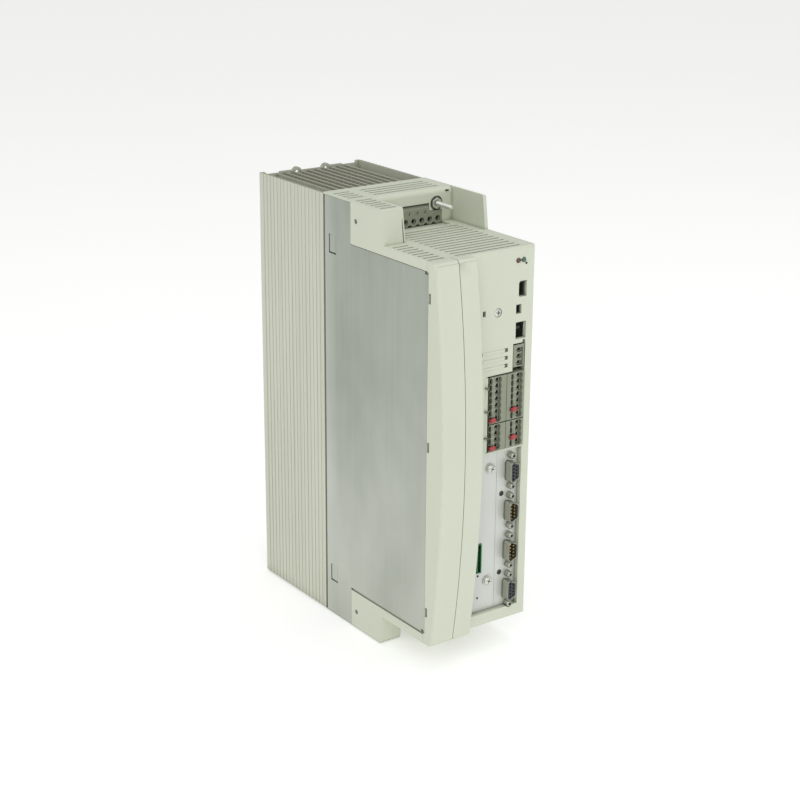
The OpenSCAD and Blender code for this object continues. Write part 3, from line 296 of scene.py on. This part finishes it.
def build_materials():
    # The crease colours below are painted shade in each plastic's creases and holes.
    dark = (0.008, 0.008, 0.008)
    return {
        "pale_plastic": plastic("pale_plastic", (0.64, 0.675, 0.555), (0.60, 0.64, 0.52), 0.5),
        "grey_plastic": plastic("grey_plastic", (0.29, 0.315, 0.235), (0.23, 0.25, 0.18), 0.5,
                                crease_shade=(0.022, 0.024, 0.016), amount=0.9, reach=0.003),
        "dark_grey_plastic": plastic("dark_grey_plastic", (0.05, 0.055, 0.045),
                                     (0.03, 0.03, 0.025), 0.5, crease_shade=dark, amount=0.8),
        "black_plastic": plastic("black_plastic", (0.03, 0.034, 0.028), (0.045, 0.05, 0.04),
                                 0.45, crease_shade=dark),
        "slate_plastic": plastic("slate_plastic", (0.045, 0.048, 0.05), (0.03, 0.03, 0.035),
                                 0.4, crease_shade=dark, amount=0.95, reach=0.002),
        "brown_plastic": plastic("brown_plastic", (0.05, 0.035, 0.018), (0.02, 0.012, 0.006),
                                 0.4, crease_shade=dark, amount=0.9),
        "green_plastic": plastic("green_plastic", (0.045, 0.22, 0.08), (0.03, 0.16, 0.05),
                                 0.38, crease_shade=(0.006, 0.02, 0.008), amount=0.9),
        "blue_plastic": plastic("blue_plastic", (0.03, 0.07, 0.2), (0.02, 0.05, 0.12), 0.4),
        "red_plastic": plastic("red_plastic", (0.47, 0.07, 0.075), (0.36, 0.045, 0.05), 0.4,
                               crease_shade=(0.08, 0.004, 0.008)),
        "transformer_tape": plastic("transformer_tape", (0.42, 0.32, 0.04), (0.3, 0.22, 0.03)),
        "capacitor_sleeve": plastic("capacitor_sleeve", (0.02, 0.025, 0.07),
                                    (0.012, 0.014, 0.04), 0.3),
        "red_lens": light_pipe("red_lens", (0.14, 0.045, 0.035), (0.05, 0.015, 0.012)),
        "green_lens": light_pipe("green_lens", (0.075, 0.17, 0.11), (0.03, 0.08, 0.05)),
        "heatsink_aluminium": heatsink_metal(),
        "sheet_steel": side_sheet_metal(),
        "plate_steel": front_plate_metal(),
        "bright_zinc": metal("bright_zinc", (0.74, 0.76, 0.70), (0.58, 0.60, 0.53), 0.3,
                             (1, 1, 1), 1800, metallic=0.7),
        "zinc_steel": metal("zinc_steel", (0.50, 0.51, 0.44), (0.34, 0.345, 0.28), 0.3,
                            (1, 1, 1), 1800, metallic=0.85),
        "gold_contact": metal("gold_contact", (0.66, 0.50, 0.22), (0.42, 0.30, 0.12), 0.25,
                              (1, 0.02, 1), 2400),
        "board_laminate": laminate(),
        "copper_winding": winding(),
    }


MATS = build_materials()
SLOT_OF = {p["node"]: p["material_slot"] for p in frame["record"]["subparts"]}
for name, obj in nodes.items():
    obj.data.materials.clear()
    obj.data.materials.append(MATS[SLOT_OF[name]])
for name in ("earth_nuts", "plate_screws", "panel_screw"):
    nodes[name].data.materials[0] = MATS["bright_zinc"]


# --------------------------------------------------------- edges of CAD nodes

# Bevel width in millimetres for the nodes whose edges are rounded on the real object
BEVELS = {
    "upper_housing": 0.9, "lower_housing": 0.9, "left_cover": 1.2, "front_panel": 0.25,
    "heatsink": 0.25, "rear_plate": 0.4, "left_side_sheet": 0.3, "right_side_sheet": 0.3,
    "upper_left_plug": 0.3, "upper_right_plug": 0.3, "lower_left_plug": 0.3,
    "lower_right_plug": 0.3, "bus_plug": 0.3, "mains_plug": 0.4, "motor_plug": 0.4,
    "female_port_shells": 0.25, "male_port_shells": 0.25, "earth_nuts": 0.3,
    "plate_screws": 0.15, "panel_screw": 0.15, "port_jackscrews": 0.2,
    "signal_header": 0.2, "keypad_port": 0.25, "fan_frame": 0.6, "fan_rotor": 0.4,
}


def soften(obj, width):
    """Joins the mesh's split corners, then rounds its sharp edges."""
    weld = obj.modifiers.new("weld", "WELD")
    weld.merge_threshold = 0.002 * MM
    bevel = obj.modifiers.new("bevel", "BEVEL")
    bevel.width = width * MM
    bevel.segments = 3
    bevel.limit_method = "ANGLE"
    bevel.angle_limit = math.radians(35)
    bevel.use_clamp_overlap = True
    bevel.harden_normals = False
    normals = obj.modifiers.new("normals", "WEIGHTED_NORMAL")
    normals.keep_sharp = False
    normals.weight = 100


for name, width in BEVELS.items():
    soften(nodes[name], width)


# -------------------------------------------------------------- detail pieces


def corners(node):
    """Lowest and highest corner of a CAD node in millimetres, to the nearest micrometre."""
    return [[round(value / MM, 3) for value in corner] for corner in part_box(node)]


stud_low, stud_high = corners("earth_studs")
bracket_low, bracket_high = corners("earth_brackets")
plate_low, plate_high = corners("right_interface_plate")

# Earth studs: axes, then tip, end of the thread just before the nut, and root
STUD_X = (stud_low[0] + stud_high[0]) / 2
STUD_HEIGHTS = {"upper": bracket_high[2] - 7, "lower": bracket_low[2] + 7}
STUD_TIP, STUD_ROOT = stud_low[1], stud_high[1]
THREAD_END = corners("earth_nuts")[0][1] - 0.3
THREAD_PITCH, THREAD_ROOT, THREAD_DEPTH, TIP_RADIUS, SHANK = 0.7, 1.58, 0.42, 1.15, 1.6
WASHER_BACK = bracket_low[1] - 1    # on the front of the nut's flange
WASHER_FRONT = WASHER_BACK - 0.6
WASHER_TEETH = 16

# Control plugs: shift of the openings in the plug, and number of poles
PLUGS = {
    "upper_left_plug": (0, 7), "upper_right_plug": (3.1, 7),
    "lower_left_plug": (0, 4), "lower_right_plug": (3.1, 4),
}
CONTROL_POLE, PLUG_RIM = 5.08, 0.6
BUS_POLES, BUS_RIM = 3, 0.2
MARK_HEIGHT = 0.5        # small cones that stand proud of a control plug's front

# Power plugs: spacing, and height of the wire openings above the plug's recess side
POWER_POLE, POWER_POLES, WIRE_HEIGHT = 7.62, 8, 4.1
WIRE_Z = {
    "mains_plug": corners("mains_plug")[0][2] + WIRE_HEIGHT,
    "motor_plug": corners("motor_plug")[1][2] - WIRE_HEIGHT,
}

# Spare holes in the right interface plate, from its lower left corner
PLATE_HOLES = {"upper": (5.1, 95.9), "lower": (4.9, 30)}
BOARD_FRONT = corners("control_board")[0][1]


def add_piece(name, bm, slot, body="drive", material=None):
    """Turns a mesh built in millimetres into a piece that rides on a CAD body."""
    bmesh.ops.recalc_face_normals(bm, faces=bm.faces)
    bmesh.ops.scale(bm, vec=(MM, MM, MM), verts=bm.verts)
    mesh = bpy.data.meshes.new(name)
    bm.to_mesh(mesh)
    bm.free()
    mesh.materials.append(MATS[material or slot])
    piece = bpy.data.objects.new(name, mesh)
    bpy.context.scene.collection.objects.link(piece)
    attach(piece, body)
    return piece


def loft(bm, rings, closed=False):
    """Skins a run of rings of points; a closed run joins its last ring to its first."""
    made = [[bm.verts.new(point) for point in ring] for ring in rings]
    pairs = list(zip(made, made[1:]))
    if closed:
        pairs.append((made[-1], made[0]))
    for a, b in pairs:
        for i in range(len(a)):
            j = (i + 1) % len(a)
            bm.faces.new((a[i], a[j], b[j], b[i]))
    if not closed:
        bm.faces.new(made[0][::-1])
        bm.faces.new(made[-1])


def circle(x, y, z, r, n=32):
    turns = [2 * math.pi * i / n for i in range(n)]
    return [(x + r * math.cos(t), y, z + r * math.sin(t)) for t in turns]


def frame_ring(x0, x1, y, z0, z1):
    return [(x0, y, z0), (x1, y, z0), (x1, y, z1), (x0, y, z1)]


def turned(bm, x, z, profile, closed=False, n=32):
    """A body turned round an axis along Y from (y, radius) pairs."""
    loft(bm, [circle(x, y, z, r, n) for y, r in profile], closed)


def cage(bm, x0, x1, y0, y1, z0, z1, t):
    """A folded rectangular clamp cage, open towards the front and the back."""
    c = 0.15
    loft(bm, [frame_ring(x0, x1, y1, z0, z1), frame_ring(x0, x1, y0 + c, z0, z1),
              frame_ring(x0 + c, x1 - c, y0, z0 + c, z1 - c),
              frame_ring(x0 + t, x1 - t, y0 + c, z0 + t, z1 - t),
              frame_ring(x0 + t, x1 - t, y1, z0 + t, z1 - t)], True)


def slotted_screw(bm, x, y, z, r, depth=2.0):
    """A screw end with a straight slot: a base and two half heads beside the slot."""
    turned(bm, x, z, [(y + depth, r), (y + 0.4, r)], n=20)
    gap = 0.16 * r / 0.75
    for side in (-1, 1):
        start = math.asin(gap / r)
        arc = [start + (math.pi - 2 * start) * i / 10 for i in range(11)]
        half = [(x + r * math.cos(t), z + side * r * math.sin(t)) for t in arc]
        inner = [(x + (px - x) * 0.88, z + (pz - z) * 0.88 + side * gap * 0.12)
                 for px, pz in half]
        loft(bm, [[(px, y + 0.4, pz) for px, pz in half],
                  [(px, y + 0.1, pz) for px, pz in half],
                  [(px, y, pz) for px, pz in inner]])


def threaded_stud(z, name):
    """Earth stud with a real screw thread up to its nut and a plain shank behind it."""
    n, steps = 32, 186
    bm = bmesh.new()
    rings = [circle(STUD_X, STUD_TIP, z, TIP_RADIUS, n)]
    for k in range(1, steps + 1):
        y = STUD_TIP + (THREAD_END - STUD_TIP) * k / steps
        ring = []
        for i in range(n):
            phase = ((y - STUD_TIP) / THREAD_PITCH - i / n) % 1
            flank = THREAD_ROOT + THREAD_DEPTH * (1 - abs(2 * phase - 1))
            r = min(flank, TIP_RADIUS + 1.1 * (y - STUD_TIP))
            t = 2 * math.pi * i / n
            ring.append((STUD_X + r * math.cos(t), y, z + r * math.sin(t)))
        rings.append(ring)
    rings += [circle(STUD_X, y, z, SHANK, n) for y in (THREAD_END + 0.02, STUD_ROOT)]
    loft(bm, rings)
    return add_piece(name, bm, "zinc_steel", material="bright_zinc")


def toothed_washer(z, name):
    """Lock washer with bent teeth, lying round the foot of the nut."""
    bm = bmesh.new()
    n = WASHER_TEETH * 4
    outer, lifted = [], []
    for i in range(n):
        t = 2 * math.pi * i / n
        out = 5.5 if i % 4 in (0, 1) else 5.05
        edge = (STUD_X + out * math.cos(t), z + out * math.sin(t))
        outer.append((edge[0], WASHER_BACK, edge[1]))
        lifted.append((edge[0], WASHER_FRONT - (0.25 if i % 4 == 0 else 0), edge[1]))
    bore = [circle(STUD_X, y, z, 4.65, n) for y in (WASHER_FRONT, WASHER_BACK)]
    loft(bm, [outer, lifted, *bore], True)
    return add_piece(name, bm, "zinc_steel")


studs = [threaded_stud(z, f"{end}_stud_thread") for end, z in STUD_HEIGHTS.items()]
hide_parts("earth_studs")
for end, z in STUD_HEIGHTS.items():
    toothed_washer(z, f"{end}_toothed_washer")

for name, (shift, poles) in PLUGS.items():
    x0, front, z0 = corners(name)[0]
    x0, front = x0 + shift, front + MARK_HEIGHT
    bm = bmesh.new()
    for i in range(poles):
        z = z0 + PLUG_RIM + (i + 0.5) * CONTROL_POLE
        cage(bm, x0 + 6.4, x0 + 11.5, front + 2.7, front + 7.1, z - 1.7, z + 1.7, 0.5)
        slotted_screw(bm, x0 + 2.0, front + 2.4, z, 0.72, 1.4)
    add_piece(name + "_clamps", bm, "zinc_steel", name)

x0, front, z0 = corners("bus_plug")[0]
bm = bmesh.new()
for i in range(BUS_POLES):
    z = z0 + BUS_RIM + (i + 0.5) * CONTROL_POLE
    cage(bm, x0 + 4.4, x0 + 8.6, front + 2.0, front + 6.2, z - 1.5, z + 1.5, 0.45)
add_piece("bus_plug_clamps", bm, "zinc_steel", "bus_plug")

for body, z in WIRE_Z.items():
    low, high = corners(body)
    lip, inner_end = low[1] + 1.6, low[1] + 6.6
    bm = bmesh.new()
    for i in range(POWER_POLES):
        x = high[0] - (i + 0.5) * POWER_POLE
        turned(bm, x, z, [(inner_end, 2.15), (lip, 2.15), (lip - 0.15, 2.0), (lip, 1.75),
                          (inner_end, 1.75)], True, 24)
    add_piece(body + "_sleeves", bm, "zinc_steel", body)

for tag, (dx, dz) in PLATE_HOLES.items():
    back, face = plate_high[1] - 0.1, plate_low[1]
    bm = bmesh.new()
    turned(bm, plate_low[0] + dx, plate_low[2] + dz,
           [(back, 2.15), (face - 0.1, 2.15), (face - 0.3, 1.95), (face - 0.3, 0.9),
            (face, 0.8)], n=28)
    add_piece(tag + "_hole_plug", bm, "black_plastic")


def gullwing_chip(bm, x, z, wide, tall, pins):
    """A surface-mounted package with bevelled top and a row of bent legs on each side."""
    loft(bm, [frame_ring(x - wide / 2, x + wide / 2, BOARD_FRONT - 0.1, z - tall / 2, z + tall / 2),
              frame_ring(x - wide / 2, x + wide / 2, BOARD_FRONT - 0.8, z - tall / 2, z + tall / 2),
              frame_ring(x - wide / 2 + 0.25, x + wide / 2 - 0.25, BOARD_FRONT - 1.15,
                         z - tall / 2 + 0.25, z + tall / 2 - 0.25)])
    for side in (-1, 1):
        edge = x + side * wide / 2
        for k in range(pins):
            pz = z - tall / 2 + tall * (k + 0.5) / pins
            w = 0.25 * tall / pins
            path = [(edge + side * out, BOARD_FRONT - lift)
                    for out, lift in ((0, 0.7), (0.5, 0.7), (0.6, 0.05), (1.0, 0.05))]
            loft(bm, [[(px, py - 0.12, pz - w), (px, py - 0.12, pz + w),
                       (px, py, pz + w), (px, py, pz - w)] for px, py in path])


dice = random.Random(7)
bm = bmesh.new()
for z in range(50, 305, 12):
    if dice.random() < 0.8:
        tall = dice.choice((3, 5, 7, 9))
        gullwing_chip(bm, dice.uniform(-26, 18), z, dice.choice((3.5, 4.5, 6)), tall,
                      max(2, int(tall / 1.2)))
add_piece("board_chips", bm, "black_plastic")


# ---------------------------------------------------------------------- stage


def add_stage():
    mesh = bpy.data.meshes.new("floor")
    size = 12
    mesh.from_pydata([(-size, -size, 0), (size, -size, 0), (size, size, 0), (-size, size, 0)],
                     [], [(0, 1, 2, 3)])
    floor = bpy.data.objects.new("floor", mesh)
    bpy.context.scene.collection.objects.link(floor)
    floor.location.z = -0.0005
    s = Shader("pale_floor", (0.90, 0.90, 0.89), 0.8, Specular_IOR_Level=0.1,
               Emission_Color=(1, 1, 1, 1), Emission_Strength=0.36)
    s.tint((0.88, 0.88, 0.87), s.noise(3, detail=2), 0.5)
    floor.data.materials.append(s.mat)


def add_light(name, at, aim, size, power, color=(1, 1, 1)):
    data = bpy.data.lights.new(name, "AREA")
    data.shape = "RECTANGLE"
    data.size, data.size_y = size
    data.energy = power
    data.color = color
    lamp = bpy.data.objects.new(name, data)
    lamp.location = at
    lamp.rotation_mode = "QUATERNION"
    lamp.rotation_quaternion = (Vector(aim) - Vector(at)).to_track_quat("-Z", "Y")
    bpy.context.scene.collection.objects.link(lamp)


def add_world(strength):
    world = bpy.data.worlds.new("studio")
    world.use_nodes = True
    sky = world.node_tree.nodes["Background"]
    sky.inputs["Color"].default_value = (1, 1, 1, 1)
    sky.inputs["Strength"].default_value = strength
    bpy.context.scene.world = world


# The photograph's camera: direction round the target, distance and lens
VIEW_AZ, VIEW_EL, VIEW_ROLL = -35.675, 19.042, 0.386
VIEW_DISTANCE = 1.3757
VIEW_TARGET = Vector((-0.00388, -0.00899, 0.18501))
VIEW_LENS = 78.53


def add_camera():
    a, e, roll = (math.radians(v) for v in (VIEW_AZ, VIEW_EL, VIEW_ROLL))
    back = Vector((math.sin(a) * math.cos(e), -math.cos(a) * math.cos(e), math.sin(e)))
    right = (-back).cross(Vector((0, 0, 1))).normalized()
    up = right.cross(-back)
    turned_right = right * math.cos(roll) + up * math.sin(roll)
    turned_up = up * math.cos(roll) - right * math.sin(roll)
    data = bpy.data.cameras.new("camera")
    data.lens = VIEW_LENS
    data.sensor_width = 36
    data.clip_end = 50
    camera = bpy.data.objects.new("camera", data)
    bpy.context.scene.collection.objects.link(camera)
    axes = Matrix((turned_right, turned_up, back)).transposed()
    camera.matrix_world = Matrix.Translation(VIEW_TARGET + back * VIEW_DISTANCE) @ axes.to_4x4()
    bpy.context.scene.camera = camera


add_stage()
add_world(0.55)
add_light("key", (-1.05, -1.3, 1.3), (0, -0.06, 0.3), (1.3, 1.3), 10.3)
add_light("top", (0.2, -0.2, 2.2), (0, 0, 0.2), (1.4, 1.4), 8)
add_light("fill", (1.5, -1.6, 0.9), (0, 0, 0.2), (1.2, 1.2), 4)
add_camera()
bpy.context.scene.view_settings.view_transform = "Standard"
